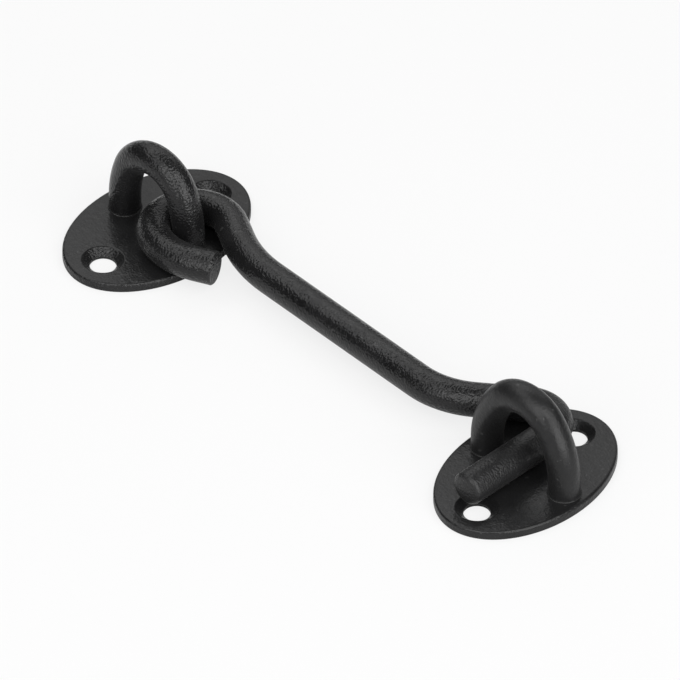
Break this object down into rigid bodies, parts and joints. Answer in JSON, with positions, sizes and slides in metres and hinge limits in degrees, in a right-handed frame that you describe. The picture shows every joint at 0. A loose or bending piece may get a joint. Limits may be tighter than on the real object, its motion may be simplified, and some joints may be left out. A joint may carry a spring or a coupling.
{
  "type": "hook and staple latch",
  "caption": "Bent round-rod hook, captive on a riveted staple, that swings into a keeper staple to hold a barn door or gate; each staple stands on an oval countersunk plate.",
  "frame": {"origin": "centre of the pivot plate's back face, midway between its screws", "axes": "+Z out of the door, +Y along the pivot plate's row of screws, +X towards the keeper"},
  "size_m": [0.1562, 0.0535, 0.0263],
  "materials": {
    "powder_coated_plate": "black fine-textured powder coat, satin, on steel plate",
    "powder_coated_rod": "black fine-textured powder coat, satin, on steel rod"
  },
  "bodies": {
    "fixed_staples": {"pivot_plate": "powder_coated_plate", "pivot_staple": "powder_coated_rod", "keeper_plate": "powder_coated_plate", "keeper_staple": "powder_coated_rod"},
    "arm": {"hook_arm": "powder_coated_rod"}
  },
  "joints": [
    {"name": "arm_swing", "type": "hinge", "parent": "fixed_staples", "child": "arm", "pos_m": [0.01035, 0, 0.0068], "axis": [0, 0, 1], "range_deg": [-2, 147]}
  ]
}
